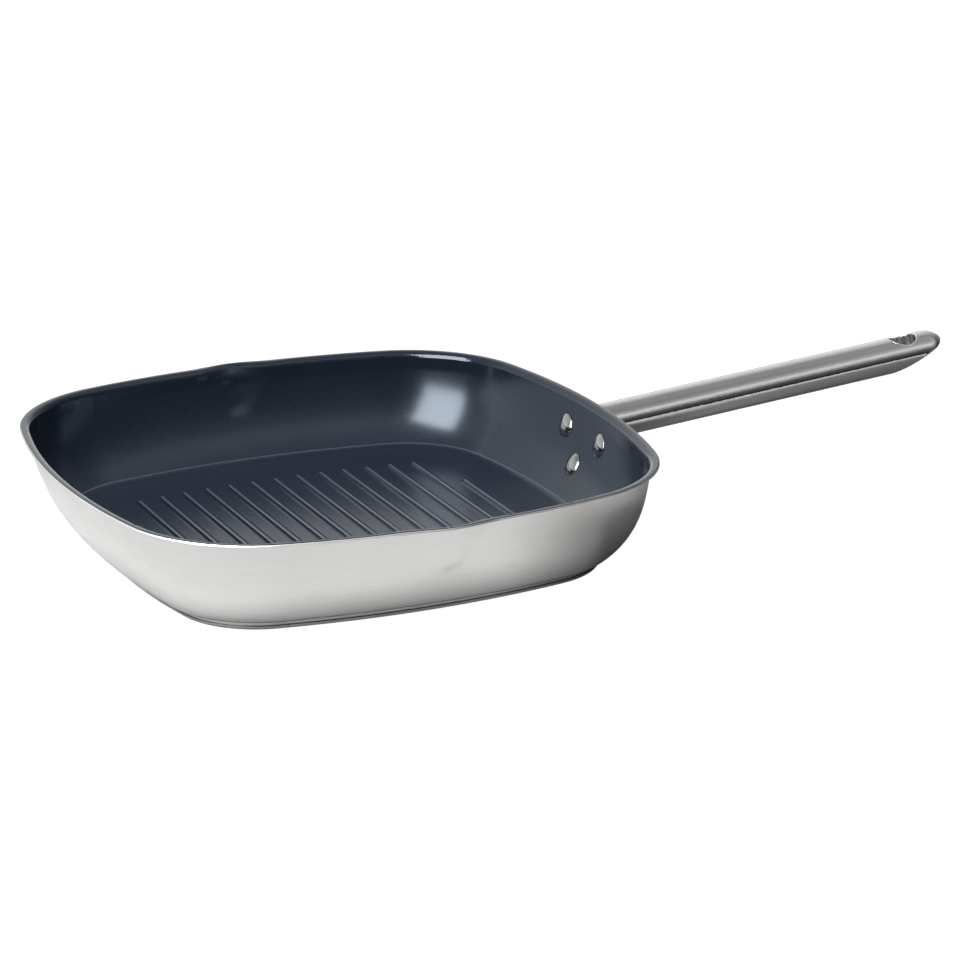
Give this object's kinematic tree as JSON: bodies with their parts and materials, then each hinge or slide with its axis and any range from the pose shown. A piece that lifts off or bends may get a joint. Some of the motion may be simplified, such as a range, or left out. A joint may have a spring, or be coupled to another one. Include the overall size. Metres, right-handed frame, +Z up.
{
  "type": "grill pan",
  "caption": "Square ribbed grill pan of stainless steel with dark non-stick lining, two pouring spouts, bonded base and a riveted tube handle with hanging hole.",
  "frame": {"origin": "on the table under the middle of the base", "axes": "+X along the handle, +Z up out of the pan, ribs and spouts along Y"},
  "size_m": [0.4734, 0.285, 0.064],
  "materials": {
    "shell_steel": "satin, fine brushed",
    "lining": "semi-gloss, fine speckle",
    "core_aluminium": "raw",
    "cap_steel": "satin, turned",
    "handle_steel": "brushed lengthwise, bright",
    "polished_steel": "polished"
  },
  "bodies": {
    "root": {"pan_shell": "shell_steel", "nonstick_coating": "lining", "base_core": "core_aluminium", "base_cap": "cap_steel", "handle_tube": "handle_steel", "handle_end_plate": "handle_steel", "hanging_sleeve": "polished_steel", "handle_bracket": "handle_steel", "rivet_upper_left": "polished_steel", "rivet_upper_right": "polished_steel", "rivet_lower": "polished_steel"}
  },
  "joints": []
}
